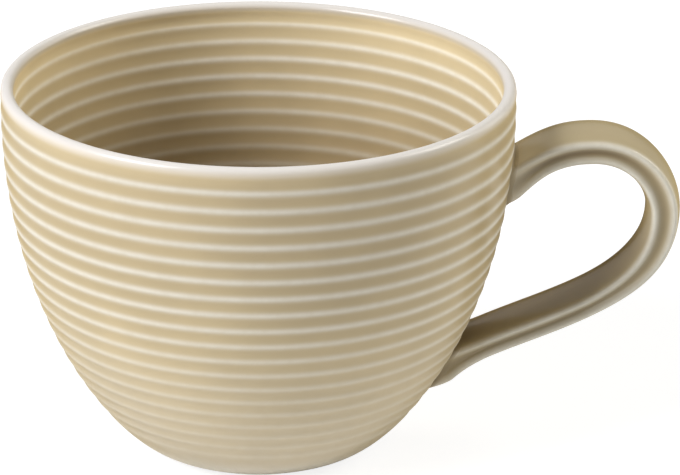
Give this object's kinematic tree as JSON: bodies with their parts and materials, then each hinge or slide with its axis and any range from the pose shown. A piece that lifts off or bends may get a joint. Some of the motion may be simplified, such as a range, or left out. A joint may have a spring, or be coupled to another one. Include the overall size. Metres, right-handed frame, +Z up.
{
  "type": "coffee cup",
  "caption": "Round coffee cup with ribs turned inside and outside, a rounded lip, a foot ring and a fluted strap handle on one side, in a glossy sand glaze.",
  "frame": {"origin": "at table level under the middle of the cup's length and width, so the bowl's axis stands 14.6 mm from it towards -X", "axes": "+Z up out of the bowl, +X from the bowl's axis towards the handle, +Y completes the right-handed frame"},
  "size_m": [0.1194, 0.0902, 0.0672],
  "materials": {
    "sand_glaze": "glossy translucent glaze, cream where it breaks on the ribs and the rim",
    "handle_glaze": "glossy translucent glaze, cream on the ridges and brown in the flutes",
    "pooled_glaze": "glossy glaze, dark where it pools at the joint"
  },
  "bodies": {
    "root": {"cup_body": "sand_glaze", "handle": "handle_glaze", "upper_slip_joint": "pooled_glaze", "lower_slip_joint": "pooled_glaze"}
  },
  "joints": []
}
